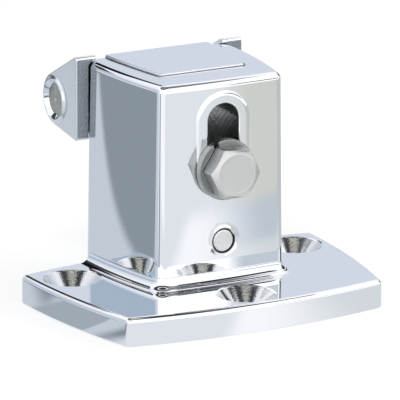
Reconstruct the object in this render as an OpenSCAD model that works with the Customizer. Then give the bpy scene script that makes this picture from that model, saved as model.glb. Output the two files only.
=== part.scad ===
// Adjustable strike for the latch of a cooler door: a die-cast housing that screws to the frame,
// and a slide with a roller that is clamped at the height the latch needs.
// Millimetres. +Z stands out from the frame, -Y is the bolt side, and the origin lies on the
// mounting plane, midway between the two side screws.

/* [Flange] */
// Thickness of the flange
flange_t = 7.7; // [6.5:0.1:10]
// Width between the flange's front corners
flange_front_w = 76.8; // [70:0.2:90]
// Width between the flange's back corners
flange_back_w = 89.4; // [84:0.2:104]
// Distance of the front corners from the line through the side screws
flange_front_y = 39.8; // [39:0.1:46]
// Distance of the back corners from the line through the side screws
flange_back_y = 9.4; // [8.5:0.1:12]
// Outward bulge of the flange's front edge
flange_front_bulge = 4.0; // [1:0.1:7]
// Outward bulge of the flange's back edge
flange_back_bulge = 4.7; // [2:0.1:7]
// Outward bulge of the flange's side edges
flange_side_bulge = 1.6; // [0.5:0.1:3]
// Radius of the flange's corners in plan
flange_corner_r = 1.8; // [1.2:0.1:4]
// Radius along the flange's top edge
flange_edge_r = 1.0; // [0.4:0.1:1.1]

/* [Mounting screws] */
// Distance of each screw hole from the origin
screw_circle_r = 34; // [32:0.2:35]
// Diameter of the screw holes
screw_hole_d = 8.4; // [6.4:0.1:9]
// Diameter of the countersinks at the flange's face
countersink_d = 15.8; // [13:0.1:17]
// Full angle of the countersinks
countersink_angle = 90; // [82:1:100]

/* [Column] */
// Height of the column above the flange
column_h = 55; // [52:0.5:70]
// Width between the column's front corners, at its top
column_front_w = 36.4; // [35:0.1:40]
// Width between the column's back corners, at its top
column_back_w = 43.8; // [42.5:0.1:46]
// Distance of the column's front corners from the line through the side screws, at its top
column_front_y = 20.2; // [19:0.1:22]
// Distance of the column's back corners from the line through the side screws, at its top
column_back_y = 16.5; // [15:0.1:17]
// Outward bulge of the column's side faces
column_side_bulge = 1.1; // [0.5:0.1:1.6]
// Outward bulge of the column's front face
column_front_bulge = 0.6; // [0.3:0.1:0.9]
// Outward bulge of the column's back face
column_back_bulge = 0.9; // [0.3:0.1:1.1]
// Radius of the column's upright front edges
column_front_r = 2.2; // [2:0.1:3]
// Radius of the column's upright back edges
column_back_r = 5.6; // [3.5:0.1:6]
// Radius round the column's top
column_top_r = 2; // [1:0.1:2]
// Radius at the column's foot
column_foot_r = 3.4; // [1:0.1:3.8]
// Draft of the column's faces, in degrees
column_draft = 0.8; // [0.2:0.1:1.2]

/* [Pocket] */
// Width of the pocket at its front
pocket_front_w = 26.6; // [24:0.1:27.6]
// Width of the pocket at the column's back
pocket_back_w = 32.4; // [30:0.1:33]
// Thickness of the wall between the column's front corners and the pocket
front_wall_t = 11.3; // [9:0.1:12]
// Height of the wall that closes the pocket's foot at the back
rear_wall_h = 14; // [10:0.5:18]
// Thickness of the wall that closes the pocket's foot at the back
rear_wall_t = 3.4; // [2.5:0.1:5]
// Outward bulge of the pocket's sides
pocket_bulge = 0.4; // [0.2:0.05:0.8]
// Radius of the pocket's upright front corners
pocket_corner_r = 1.2; // [0.8:0.1:2]

/* [Adjusting slot] */
// Width of the slot for the clamp bolt
slot_w = 9; // [8.6:0.1:10]
// Distance that the slide can be set out from its lowest place
travel = 13; // [9:0.5:15]
// Width of the raised border round the slot
border_w = 3.2; // [2.5:0.1:3.8]
// Height of the border above the front face at the slot's top
border_h = 0.45; // [0.45:0.05:1]

/* [Slide] */
// Running gap between the slide and the pocket's sides
guide_gap = 0.3; // [0.2:0.05:0.5]
// Gap between the slide's front and the pocket's front when clamped
clamp_gap = 0.05; // [0.02:0.01:0.1]
// Height of the slide's top above the column at rest
slide_proud = 0.6; // [0.4:0.1:2]
// Thickness of the slide's front wall, which the bolt screws into
slide_front_t = 7.5; // [6:0.1:9]
// Thickness of the slide's side and back walls
slide_wall_t = 3.3; // [2.5:0.1:4]
// Thickness of the slide's top
slide_top_t = 4; // [3:0.1:6]
// Radius round the slide's top
slide_edge_r = 0.4; // [0.2:0.05:0.5]
// Depth of the web's top edge below the slide's top
web_drop = 2.4; // [1.8:0.1:4]

/* [Ears] */
// Distance between the outer faces of the two ears
ears_w = 50.6; // [49.6:0.2:56]
// Distance between the inner faces of the two ears
ears_gap = 40; // [38:0.2:41]
// Height of the ears' tops above the top of the slide's block
ear_rise = 0.6; // [0.2:0.1:1.5]
// Length by which each ear's front corner laps over the column's rounded top edge
ear_lap = 0.8; // [0.4:0.1:1]
// Height of the ears along their front edge
ear_h = 23.1; // [22:0.1:26]
// Distance that the ears reach forward of the roller pin
ear_reach = 12.6; // [12:0.1:13]
// Radius of the ears' rounded noses
ear_nose_r = 7.2; // [7:0.1:8]
// Radius of the ears' front corners in side view
ear_corner_r = 1; // [0.8:0.1:2]
// Radius along the edges of the ears' outer faces
ear_edge_r = 0.4; // [0.2:0.05:0.8]
// Thickness of the web that joins the ears
web_t = 2.1; // [1.5:0.1:2.4]
// Gap between the web and the column's back
web_gap = 0.4; // [0.3:0.05:0.5]
// Gap between the ears and the column's rounded back edges
ear_gap = 0.35; // [0.3:0.05:0.8]
// Outer diameter of the lip round each pin hole
lip_d = 13.2; // [12.4:0.1:13.8]
// Height of the lip round each pin hole
lip_h = 0.8; // [0.2:0.1:1]

/* [Roller and pin] */
// Diameter of the roller pin
pin_d = 8.6; // [7.6:0.1:9]
// Depth of the pin's ends below the lips
pin_recess = 1.2; // [0.8:0.1:1.8]
// Diameter of the countersink round the pin's ends
pin_sink_d = 11; // [10:0.1:11.6]
// Distance of the pin's centre below the ears' front top corners
pin_drop = 14.2; // [13.6:0.1:14.8]
// Diameter of the roller
roller_d = 12.8; // [11.6:0.1:13]
// Gap between the roller's ends and the ears
roller_end_gap = 0.5; // [0.3:0.05:1]
// Gap between the roller and the web
roller_gap = 0.6; // [0.4:0.05:0.8]
// Radial clearance between the roller and its pin
roller_clearance = 0.08; // [0.03:0.01:0.1]
// Radial clearance between the pin and the ears
pin_clearance = 0.01; // [0.01:0.01:0.03]

/* [Clamp bolt] */
// Diameter of the clamp bolt
bolt_d = 8; // [7:0.1:8.2]
// Height of the bolt's centre above the flange at rest
bolt_z = 31.2; // [30:0.1:32.5]
// Length of the bolt under its head
bolt_l = 25; // [23:0.5:28]
// Distance across the flats of the bolt's head
hex_af = 13; // [12:0.1:13.6]
// Height of the bolt's head
hex_h = 5.5; // [4.5:0.1:6]
// Diameter of the flat face of the bolt's head
hex_face_d = 11.2; // [10.5:0.1:12]
// Radial clearance between the bolt and its thread
thread_clearance = 0.05; // [0.02:0.01:0.1]
// Outer diameter of the lock washer
washer_d = 16.6; // [15:0.1:16.8]
// Thickness of the lock washer
washer_t = 2.1; // [1.5:0.1:2.4]
// Radial clearance between the washer and the bolt
washer_clearance = 0.2; // [0.1:0.05:0.3]
// Width of the split in the lock washer
split_w = 1.4; // [0.8:0.1:2]

/* [Stop pin] */
// Diameter of the stop pin
stop_d = 6; // [5:0.1:6.4]
// Height of the stop pin's centre above the flange
stop_z = 11.3; // [9.5:0.1:12]
// Length of the stop pin that reaches into the pocket
stop_reach = 4.6; // [3:0.1:6]
// Gap between the stop pin and the slide that rests on it
stop_gap = 0.1; // [0.05:0.05:0.3]
// Width and height of the raised rim round the stop pin
stop_rim_w = 1.2; // [0.6:0.1:2]
stop_rim_h = 0.3; // [0.15:0.05:0.5]
// Radial clearance between the stop pin and its hole
stop_clearance = 0.01; // [0.01:0.01:0.03]

/* [Hidden] */

$fn = 96;
// Points along one side and round one corner of an outline
SIDE_STEPS = 10;
CORNER_STEPS = 8;
// Rings round a fillet or an edge radius
ROUND_STEPS = 6;
// Length by which cutters run past a surface
OVER = 1;
// Length by which joined pieces of one casting overlap
BITE = 1;
// Bulge that stands for a straight side, because a side is always an arc
STRAIGHT = 0.01;
// Largest angle between neighbouring points round a circle of a belt
BELT_ANGLE = 12;
// Depth of the centre mark in the end of a turned pin, as a part of its diameter
CENTRE_MARK = 0.09;
// Chamfer on the ends of turned pins and of the roller
PIN_EDGE = 0.4;
ROLLER_EDGE = 0.6;
// Angle of the chamfer on the bolt's head, and how far the head is turned at rest
HEX_CHAMFER_ANGLE = 30;
HEX_TURN = -4;
// Directions of the screw holes from the middle of the flange: left, front and right
SCREW_ANGLES = [180, 270, 360];
// Direction of the washer's split, anticlockwise from +X seen from the front, and the slant of its cut
SPLIT_ANGLE = 110;
SPLIT_SLANT = 35;

column_top = flange_t + column_h;
slide_top = column_top + slide_proud;
bolt_height = flange_t + bolt_z;
stop_height = flange_t + stop_z;
slide_bottom = stop_height + stop_d / 2 + stop_gap;

// How far the column's faces have grown at a height, through their draft.
function drafted(z) = tan(column_draft) * (column_top - z);
// Furthest forward that the front face reaches at a height.
function front_face_y(z) = -(column_front_y + column_front_bulge + drafted(z));

slot_low = bolt_height;
slot_high = bolt_height + travel;
border_y = front_face_y(slot_high + slot_w / 2) - border_h;
washer_y = border_y - washer_t;
pocket_front_y = -(column_front_y + column_front_bulge - front_wall_t);
slide_front_y = pocket_front_y + clamp_gap;
rear_wall_y = column_back_y - rear_wall_t;

// The web runs behind the column's back edges, and the roller behind the web.
ear_top = slide_top + ear_rise;
ear_bottom = ear_top - ear_h;
web_y = column_back_y + column_back_bulge / 2 + drafted(ear_bottom) + web_gap;
web_back_y = web_y + web_t;
pin_y = web_back_y + roller_gap + roller_d / 2;
pin_z = ear_top - pin_drop;
ear_front_y = pin_y - ear_reach;
ear_t = (ears_w - ears_gap) / 2;
pin_l = ears_w + 2 * (lip_h - pin_recess);

// Corners of an outline, anticlockwise from the front right.
function corners(front_w, back_w, front_y, back_y) = [
    [front_w / 2, -front_y], [back_w / 2, back_y], [-back_w / 2, back_y], [-front_w / 2, -front_y]
];

// Circle, as [centre, radius], of a side that runs from a to b and bulges outwards.
function side_circle(a, b, bulge) =
    let (
        chord = norm(b - a),
        r = (chord * chord / 4 + bulge * bulge) / (2 * bulge),
        outwards = [b[1] - a[1], a[0] - b[0]] / chord
    )
    [(a + b) / 2 - outwards * (r - bulge), r];

// Point where two circles meet, the one nearer to a given point.
function meet(p, q, near) =
    let (
        d = norm(q[0] - p[0]),
        along = (p[1] * p[1] - q[1] * q[1] + d * d) / (2 * d),
        aside = sqrt(p[1] * p[1] - along * along),
        e = (q[0] - p[0]) / d,
        foot = p[0] + along * e,
        step = [-e[1], e[0]] * aside
    )
    norm(foot + step - near) < norm(foot - step - near) ? foot + step : foot - step;

// Angle of a direction, taken within half a turn of the side's own direction.
function angle_near(v, about) =
    let (a = atan2(v[1], v[0]))
    a > about + 180 ? a - 360 : a < about - 180 ? a + 360 : a;

// Outline with bulging sides and rounded corners, as [x, y, normal x, normal y] for each point.
// Bulges go right, back, left, front, and radii front right, back right, back left, front left.
function outline(c, bulges, radii) =
    let (
        sides = [for (i = [0:3]) side_circle(c[i], c[(i + 1) % 4], bulges[i])],
        centres = [for (i = [0:3]) let (before = sides[(i + 3) % 4], after = sides[i])
            meet([before[0], before[1] - radii[i]], [after[0], after[1] - radii[i]], c[i])]
    )
    [for (i = [0:3])
        let (
            next = (i + 1) % 4,
            start = angle_near(centres[i] - sides[i][0], 90 * i),
            end = angle_near(centres[next] - sides[i][0], 90 * i),
            turned = angle_near(centres[next] - sides[next][0], 90 * (i + 1))
        )
        each concat(
            [for (k = [0:SIDE_STEPS - 1]) let (a = start + (end - start) * k / SIDE_STEPS)
                concat(sides[i][0] + sides[i][1] * [cos(a), sin(a)], [cos(a), sin(a)])],
            [for (k = [0:CORNER_STEPS - 1]) let (a = end + (turned - end) * k / CORNER_STEPS)
                concat(centres[next] + radii[next] * [cos(a), sin(a)], [cos(a), sin(a)])]
        )
    ];

// Flat points of an outline that has grown by a distance.
function grown(points, by) = [for (p = points) [p[0] + by * p[2], p[1] + by * p[3]]];

// Ring of an outline that has grown by a distance, at a height.
function ring(points, by, z) = [for (p = grown(points, by)) [p[0], p[1], z]];

// Closed solid through rings of points, the lowest first.
module skin(rings) {
    n = len(rings[0]);
    levels = len(rings);
    walls = [for (j = [0:levels - 2], i = [0:n - 1])
        let (a = j * n + i, b = j * n + (i + 1) % n)
        each [[a, a + n, b + n], [a, b + n, b]]];
    polyhedron(
        points = [for (r = rings) each r],
        faces = concat([[for (i = [0:n - 1]) i]], walls, [[for (i = [n - 1:-1:0]) (levels - 1) * n + i]])
    );
}

flange_outline = outline(
    corners(flange_front_w, flange_back_w, flange_front_y, flange_back_y),
    [flange_side_bulge, flange_back_bulge, flange_side_bulge, flange_front_bulge],
    [flange_corner_r, flange_corner_r, flange_corner_r, flange_corner_r]
);

column_outline = outline(
    corners(column_front_w, column_back_w, column_front_y, column_back_y),
    [column_side_bulge, column_back_bulge, column_side_bulge, column_front_bulge],
    [column_front_r, column_back_r, column_back_r, column_front_r]
);

// Outline between two distances along Y of the tapered guide that pocket and slide share.
function guide_outline(front_y, back_y, inset, radius) =
    let (
        slope = (pocket_back_w - pocket_front_w) / (column_back_y - pocket_front_y),
        front_w = pocket_front_w + slope * (front_y - pocket_front_y) - 2 * inset,
        back_w = pocket_front_w + slope * (back_y - pocket_front_y) - 2 * inset
    )
    outline(corners(front_w, back_w, -front_y, back_y), [pocket_bulge, STRAIGHT, pocket_bulge, STRAIGHT],
        [radius, radius, radius, radius]);

// Outline of a belt round circles given as [centre, radius], anticlockwise, with normals as above.
function belt(circles) =
    let (n = len(circles))
    [for (i = [0:n - 1])
        let (
            start = belt_angle(circles[(i + n - 1) % n], circles[i]),
            end = belt_angle(circles[i], circles[(i + 1) % n]),
            sweep = end < start ? end - start + 360 : end - start,
            steps = ceil(sweep / BELT_ANGLE)
        )
        for (k = [0:steps]) let (a = start + sweep * k / steps)
            concat(circles[i][0] + circles[i][1] * [cos(a), sin(a)], [cos(a), sin(a)])
    ];

// Direction that a belt faces between two circles.
function belt_angle(from, to) =
    let (v = to[0] - from[0], a = atan2(v[1], v[0]) - 90 + asin((from[1] - to[1]) / norm(v)))
    a < 0 ? a + 360 : a;

// Upright outline with round ends about two heights, as a bar along Y from y1 to y2.
module slot_bar(width, low, high, y1, y2) {
    for (z = [low, high])
        translate([0, y2, z]) rotate([90, 0, 0]) cylinder(d = width, h = y2 - y1);
    translate([-width / 2, y1, low]) cube([width, y2 - y1, high - low]);
}

module flange_blank() {
    edge = [for (k = [0:ROUND_STEPS]) let (a = 90 * k / ROUND_STEPS)
        ring(flange_outline, flange_edge_r * (cos(a) - 1), flange_t - flange_edge_r * (1 - sin(a)))];
    skin(concat([ring(flange_outline, 0, 0)], edge));
}

module column_blank() {
    round_z = column_top - column_top_r;
    edge = [for (k = [0:ROUND_STEPS]) let (a = 90 * k / ROUND_STEPS)
        ring(column_outline, drafted(round_z) + column_top_r * (cos(a) - 1), round_z + column_top_r * sin(a))];
    skin(concat([ring(column_outline, drafted(0), 0)], edge));
}

// Hollow radius where the column meets the flange, cut off at the flange's edge.
module foot_fillet() {
    top_z = flange_t + column_foot_r;
    rings = [for (k = [0:ROUND_STEPS]) let (a = 90 * k / ROUND_STEPS, z = top_z - column_foot_r * cos(a))
        ring(column_outline, drafted(z) + column_foot_r * (1 - sin(a)), z)];
    intersection() {
        skin(concat([ring(column_outline, drafted(flange_t) + column_foot_r, flange_t - BITE)], rings,
            [ring(column_outline, drafted(top_z) - BITE, top_z)]));
        linear_extrude(column_top) polygon(grown(flange_outline, -flange_edge_r));
    }
}

module screw_hole() {
    sink_h = (countersink_d - screw_hole_d) / 2 / tan(countersink_angle / 2);
    translate([0, 0, -OVER]) cylinder(d = screw_hole_d, h = flange_t + 2 * OVER);
    translate([0, 0, flange_t - sink_h]) cylinder(d1 = screw_hole_d, d2 = countersink_d, h = sink_h);
    translate([0, 0, flange_t]) cylinder(d = countersink_d, h = OVER);
}

// Part of the pocket, back to a given distance and between two heights.
module pocket(back_y, low, high) {
    translate([0, 0, low]) linear_extrude(high - low)
        polygon(grown(guide_outline(pocket_front_y, back_y, 0, pocket_corner_r), 0));
}

module body() {
    color([0.86, 0.88, 0.9])
    difference() {
        union() {
            flange_blank();
            column_blank();
            foot_fillet();
            slot_bar(slot_w + 2 * border_w, slot_low, slot_high, border_y, border_y + front_wall_t / 2);
            translate([0, front_face_y(stop_height) - stop_rim_h, stop_height]) rotate([-90, 0, 0])
                cylinder(d1 = stop_d + stop_rim_w, d2 = stop_d + 3 * stop_rim_w, h = front_wall_t / 4);
        }
        pocket(rear_wall_y, -OVER, rear_wall_h + OVER);
        pocket(column_back_y + column_foot_r + OVER, rear_wall_h, column_top + OVER);
        slot_bar(slot_w, slot_low, slot_high, border_y - OVER, pocket_front_y + OVER);
        for (a = SCREW_ANGLES)
            rotate([0, 0, a]) translate([screw_circle_r, 0, 0]) screw_hole();
        translate([0, pocket_front_y + OVER, stop_height]) rotate([90, 0, 0])
            cylinder(r = stop_d / 2 + stop_clearance, h = 2 * front_wall_t);
    }
}

// Side view of an ear: an upright front edge that narrows to a round nose about the pin.
ear_outline = belt([
    [[pin_y, pin_z], ear_nose_r],
    [[ear_front_y + ear_corner_r, ear_top - ear_corner_r], ear_corner_r],
    [[ear_front_y + ear_corner_r, ear_bottom + ear_corner_r], ear_corner_r]
]);

module pin_seat(side) {
    translate([side * (ears_w / 2 + lip_h), pin_y, pin_z]) rotate([0, -90 * side, 0]) {
        cylinder(d1 = pin_sink_d, d2 = pin_d, h = pin_recess);
        cylinder(r = pin_d / 2 + pin_clearance, h = ear_t + lip_h + OVER);
    }
}

// Tapered block that runs in the pocket, with its top edges rounded.
module slide_block() {
    plan = guide_outline(slide_front_y, column_back_y, guide_gap, pocket_corner_r);
    edge = [for (k = [0:ROUND_STEPS]) let (a = 90 * k / ROUND_STEPS)
        ring(plan, slide_edge_r * (cos(a) - 1), slide_top - slide_edge_r * (1 - sin(a)))];
    skin(concat([ring(plan, 0, slide_bottom)], edge));
}

// Hollow inside the block, open at the bottom.
module slide_core() {
    inset = guide_gap + slide_wall_t;
    plan = guide_outline(slide_front_y + slide_front_t, column_back_y - slide_wall_t, inset, pocket_corner_r);
    translate([0, 0, slide_bottom - OVER]) linear_extrude(slide_top - slide_top_t - slide_bottom + OVER)
        polygon(grown(plan, 0));
}

// Web behind the column, with the neck that joins it to the block.
module web() {
    neck_w = pocket_back_w - 2 * (guide_gap + slide_wall_t);
    height = ear_top - web_drop - ear_bottom;
    translate([-ears_gap / 2 - BITE, web_y, ear_bottom]) cube([ears_gap + 2 * BITE, web_t, height]);
    translate([-neck_w / 2, column_back_y - BITE, ear_bottom]) cube([neck_w, web_y - column_back_y + 2 * BITE, height]);
}

// Space that the column fills, with its rounded top edge, grown by the ears' gap.
module column_space() {
    low = drafted(ear_bottom) + ear_gap;
    r = column_top_r + ear_gap;
    edge = [for (k = [0:ROUND_STEPS]) let (a = 90 * k / ROUND_STEPS)
        ring(column_outline, low - r * (1 - cos(a)), column_top - column_top_r + r * sin(a))];
    skin(concat([ring(column_outline, low, ear_bottom - OVER)], edge));
}

// One ear with the lip round its pin hole. Its front corner laps over the column's edge without touching it.
module ear(side) {
    edge = [for (k = [0:ROUND_STEPS]) let (a = 90 * k / ROUND_STEPS)
        ring(ear_outline, ear_edge_r * (cos(a) - 1), ear_t - ear_edge_r * (1 - sin(a)))];
    difference() {
        union() {
            mirror([side < 0 ? 1 : 0, 0, 0]) {
                translate([ears_gap / 2, 0, 0]) rotate([90, 0, 90]) skin(concat([ring(ear_outline, 0, 0)], edge));
                intersection() {
                    translate([ears_gap / 2 - ear_lap, 0, 0]) rotate([90, 0, 90])
                        linear_extrude(ear_lap + BITE) polygon(grown(ear_outline, 0));
                    translate([0, ear_front_y - OVER, 0]) cube([ears_w, web_back_y - ear_front_y + OVER, ear_top]);
                }
            }
            translate([side * (ears_w / 2 - BITE), pin_y, pin_z]) rotate([0, 90 * side, 0])
                cylinder(d = lip_d, h = lip_h + BITE);
        }
        column_space();
        pin_seat(side);
    }
}

module slide() {
    color([0.72, 0.74, 0.76])
    difference() {
        union() {
            slide_block();
            web();
            for (side = [-1, 1]) ear(side);
        }
        slide_core();
        translate([0, slide_front_y + slide_front_t + OVER, bolt_height]) rotate([90, 0, 0])
            cylinder(r = bolt_d / 2 + thread_clearance, h = slide_front_t + 2 * OVER);
    }
}

module roller() {
    l = ears_gap - 2 * roller_end_gap;
    color([0.9, 0.89, 0.84])
    translate([0, pin_y, pin_z]) rotate([0, 90, 0])
        rotate_extrude()
            polygon([[pin_d / 2 + roller_clearance, -l / 2], [roller_d / 2 - ROLLER_EDGE, -l / 2],
                [roller_d / 2, -l / 2 + ROLLER_EDGE], [roller_d / 2, l / 2 - ROLLER_EDGE],
                [roller_d / 2 - ROLLER_EDGE, l / 2], [pin_d / 2 + roller_clearance, l / 2]]);
}

// Half section of a turned pin with chamfered ends, each with a conical centre mark.
module turned_pin(d, l) {
    mark = d * CENTRE_MARK;
    rotate_extrude()
        polygon([[0, mark], [mark, 0], [d / 2 - PIN_EDGE / 2, 0], [d / 2, PIN_EDGE / 2],
            [d / 2, l - PIN_EDGE / 2], [d / 2 - PIN_EDGE / 2, l], [mark, l], [0, l - mark]]);
}

module roller_pin() {
    color([0.66, 0.65, 0.6])
    translate([-pin_l / 2, pin_y, pin_z]) rotate([0, 90, 0]) turned_pin(pin_d, pin_l);
}

module clamp_bolt() {
    point_l = 2 * PIN_EDGE;
    color([0.78, 0.78, 0.76])
    translate([0, washer_y, bolt_height]) rotate([90, 0, 0]) {
        intersection() {
            rotate([0, 0, HEX_TURN]) cylinder(d = hex_af / cos(30), h = hex_h, $fn = 6);
            cylinder(r1 = hex_face_d / 2 + hex_h / tan(HEX_CHAMFER_ANGLE), r2 = hex_face_d / 2, h = hex_h);
        }
        translate([0, 0, -bolt_l]) cylinder(r1 = bolt_d / 2 - point_l, r2 = bolt_d / 2, h = point_l);
        translate([0, 0, point_l - bolt_l]) cylinder(d = bolt_d, h = bolt_l - point_l + BITE);
    }
}

module lock_washer() {
    color([0.7, 0.7, 0.68])
    translate([0, border_y, bolt_height]) rotate([90, 0, 0])
        difference() {
            rotate_extrude()
                translate([bolt_d / 2 + washer_clearance, 0])
                    square([(washer_d - bolt_d) / 2 - washer_clearance, washer_t]);
            rotate([0, 0, SPLIT_ANGLE]) translate([washer_d / 2, 0, washer_t / 2]) rotate([SPLIT_SLANT, 0, 0])
                cube([washer_d, split_w * cos(SPLIT_SLANT), 3 * washer_t], center = true);
        }
}

module stop_pin() {
    face_y = front_face_y(stop_height);
    color([0.8, 0.8, 0.8])
    translate([0, face_y, stop_height]) rotate([-90, 0, 0])
        turned_pin(stop_d, pocket_front_y + stop_reach - face_y);
}

body();
slide();
roller();
roller_pin();
clamp_bolt();
lock_washer();
stop_pin();
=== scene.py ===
import bmesh
import bpy
import numpy as np
from mathutils import Matrix, Vector


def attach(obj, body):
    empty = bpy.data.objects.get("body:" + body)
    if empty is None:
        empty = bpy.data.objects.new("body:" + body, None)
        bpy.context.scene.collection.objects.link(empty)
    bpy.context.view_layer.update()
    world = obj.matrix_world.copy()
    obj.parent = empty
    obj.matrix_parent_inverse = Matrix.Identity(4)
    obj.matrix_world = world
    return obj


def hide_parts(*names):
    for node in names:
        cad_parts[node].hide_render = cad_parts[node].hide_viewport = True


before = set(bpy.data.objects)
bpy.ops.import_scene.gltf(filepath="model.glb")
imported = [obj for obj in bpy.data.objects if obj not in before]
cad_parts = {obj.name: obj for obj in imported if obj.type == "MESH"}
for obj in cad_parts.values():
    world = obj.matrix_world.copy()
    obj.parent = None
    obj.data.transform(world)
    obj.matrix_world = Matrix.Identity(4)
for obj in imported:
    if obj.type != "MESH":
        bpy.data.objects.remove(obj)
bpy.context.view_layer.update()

# Housing: flange, column and pocket in one zinc casting. It is die cast with drafted, slightly bulging
# faces, its edges are buffed round, and it is then nickel and chrome plated, so it reflects like a mirror.
MM = 0.001
FLANGE_T = 7.7
COLUMN_TOP = 62.7
DRAFT = np.tan(np.radians(0.8))
FRONT_FACE_Y = -20.8
GUIDE_FRONT_W, GUIDE_BACK_W, GUIDE_BACK_Y = 26.6, 32.4, 16.5
POCKET_FRONT_Y = -9.5
SLOT_W, SLOT_LOW, SLOT_HIGH = 9.0, 38.9, 51.9
BORDER_W, BORDER_Y = 3.2, -21.338
STOP_Z, STOP_R = 19.0, 3.0
SCREW_HOLE_R, COUNTERSINK_R = 4.2, 7.9
SCREW_PLACES = ((-34.0, 0.0), (34.0, 0.0), (0.0, -34.0))


def bulged_outline(corners, bulges, radii, side_steps=32, corner_steps=14):
    """Closed outline, anticlockwise, as points and outward normals.
    Each side is the circle through two corners with radius (chord^2 / 4 + bulge^2) / (2 bulge), and each
    corner is a circle that touches both neighbouring sides from inside."""
    c = np.array(corners, float)
    after = np.roll(c, -1, 0)
    chord = np.linalg.norm(after - c, axis=1)
    bulge = np.maximum(np.array(bulges, float), 1e-3)
    radius = (chord**2 / 4 + bulge**2) / (2 * bulge)
    out = np.stack([after[:, 1] - c[:, 1], c[:, 0] - after[:, 0]], 1) / chord[:, None]
    middle = (c + after) / 2 - out * (radius - bulge)[:, None]
    corner_r = np.array(radii, float)
    p, q = np.roll(middle, 1, 0), middle
    rp, rq = np.roll(radius, 1) - corner_r, radius - corner_r
    d = np.linalg.norm(q - p, axis=1)
    e = (q - p) / d[:, None]
    along = (rp**2 - rq**2 + d**2) / (2 * d)
    aside = np.sqrt(rp**2 - along**2)
    across = np.stack([-e[:, 1], e[:, 0]], 1) * aside[:, None]
    foot = p + along[:, None] * e
    near = np.linalg.norm(foot + across - c, axis=1) < np.linalg.norm(foot - across - c, axis=1)
    hub = np.where(near[:, None], foot + across, foot - across)
    points, normals = [], []
    for i in range(4):
        nxt = (i + 1) % 4
        a = [np.arctan2(*(hub[k] - middle[s])[::-1]) for k, s in ((i, i), (nxt, i), (nxt, nxt))]
        about = (np.pi / 2 * i, np.pi / 2 * i, np.pi / 2 * (i + 1))
        a = [v + 2 * np.pi * round((w - v) / (2 * np.pi)) for v, w in zip(a, about)]
        side = np.linspace(a[0], a[1], side_steps, endpoint=False)
        turn = np.linspace(a[1], a[2], corner_steps, endpoint=False)
        for angle, centre, r in ((side, middle[i], radius[i]), (turn, hub[nxt], corner_r[nxt])):
            n = np.stack([np.cos(angle), np.sin(angle)], 1)
            points.append(centre + r * n)
            normals.append(n)
    return np.concatenate(points), np.concatenate(normals)


def ring(outline, grow, z):
    """Outline moved along its normals by grow, at height z: (p + grow n, z)."""
    p, n = outline
    flat = p + grow * n
    return np.column_stack([flat, np.full(len(flat), z)])


def arc(steps=9, start=0.0, end=90.0):
    """Pairs (sin a, cos a) of evenly spaced angles in degrees, for rounded edges."""
    a = np.radians(np.linspace(start, end, steps))
    return list(zip(np.sin(a), np.cos(a)))


AXES = {"x": [[0, 1, 0], [0, 0, 1], [1, 0, 0]], "y": [[1, 0, 0], [0, 0, 1], [0, -1, 0]], "z": np.eye(3)}


def solid(name, rings, along="z", closed=False):
    """Mesh object through rings of equal length, the first one lowest along the axis, with flat ends.
    Ring j and point i join ring j + 1 and point i + 1. Closed joins the last ring to the first instead."""
    grid = np.stack(rings) @ np.array(AXES[along], float)
    m, n = grid.shape[:2]
    j, i = np.meshgrid(np.arange(m if closed else m - 1), np.arange(n), indexing="ij")
    k, up = (i + 1) % n, (j + 1) % m
    quads = np.stack([j * n + i, j * n + k, up * n + k, up * n + i], -1).reshape(-1, 4).tolist()
    if not closed:
        quads += [list(range(n))[::-1], list(range((m - 1) * n, m * n))]
    mesh = bpy.data.meshes.new(name)
    mesh.from_pydata((grid.reshape(-1, 3) * MM).tolist(), [], quads)
    piece = bpy.data.objects.new(name, mesh)
    bpy.context.scene.collection.objects.link(piece)
    return piece


def carve(base, tools, how):
    """Joins (UNION), cuts (DIFFERENCE) or keeps in common (INTERSECT) solids one after another."""
    for tool in tools:
        step = base.modifiers.new(how, "BOOLEAN")
        step.operation, step.object, step.solver = how, tool, "MANIFOLD"
        graph = bpy.context.evaluated_depsgraph_get()
        made = bpy.data.meshes.new_from_object(base.evaluated_get(graph))
        made.materials.clear()
        base.modifiers.clear()
        base.data = made
        bpy.data.objects.remove(tool)
    return base


def finish_edges(piece, angle=32.0):
    """Merges doubles, shades smooth up to an angle, and leans vertex normals towards the larger faces."""
    work = bmesh.new()
    work.from_mesh(piece.data)
    bmesh.ops.remove_doubles(work, verts=work.verts, dist=1e-6)
    bmesh.ops.dissolve_degenerate(work, edges=work.edges, dist=1e-7)
    work.to_mesh(piece.data)
    work.free()
    piece.data.shade_smooth()
    piece.data.set_sharp_from_angle(angle=np.radians(angle))
    lean = piece.modifiers.new("lean", "WEIGHTED_NORMAL")
    lean.keep_sharp, lean.weight = True, 80
    return piece


def drafted(z):
    """Growth of the column's outline at height z: tan(draft) times the distance below the top."""
    return DRAFT * (COLUMN_TOP - z)


def circle(r, steps=96):
    """Circle of radius r as an outline: points r (cos a, sin a) and normals (cos a, sin a)."""
    a = np.linspace(0, 2 * np.pi, steps, endpoint=False)
    n = np.stack([np.cos(a), np.sin(a)], 1)
    return r * n, n


def stadium(r, low, high, steps=40):
    """Upright outline with round ends of radius r about heights low and high: the points r (cos a, sin a)
    of the upper half circle, then those of the lower one, and straight sides between them."""
    a = np.linspace(0, np.pi, steps)
    n = np.stack([np.cos(a), np.sin(a)], 1)
    return np.concatenate([r * n + [0, high], -r * n + [0, low]]), np.concatenate([n, -n])


def lathe(name, profile, centre, along, steps=96, closed=False):
    """Turned solid: the profile (radius, distance) carried round an axis through centre."""
    home = np.array(AXES[along], float) @ centre
    return solid(name, [ring(circle(r, steps), 0, d) + home for r, d in profile], along, closed)


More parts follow.
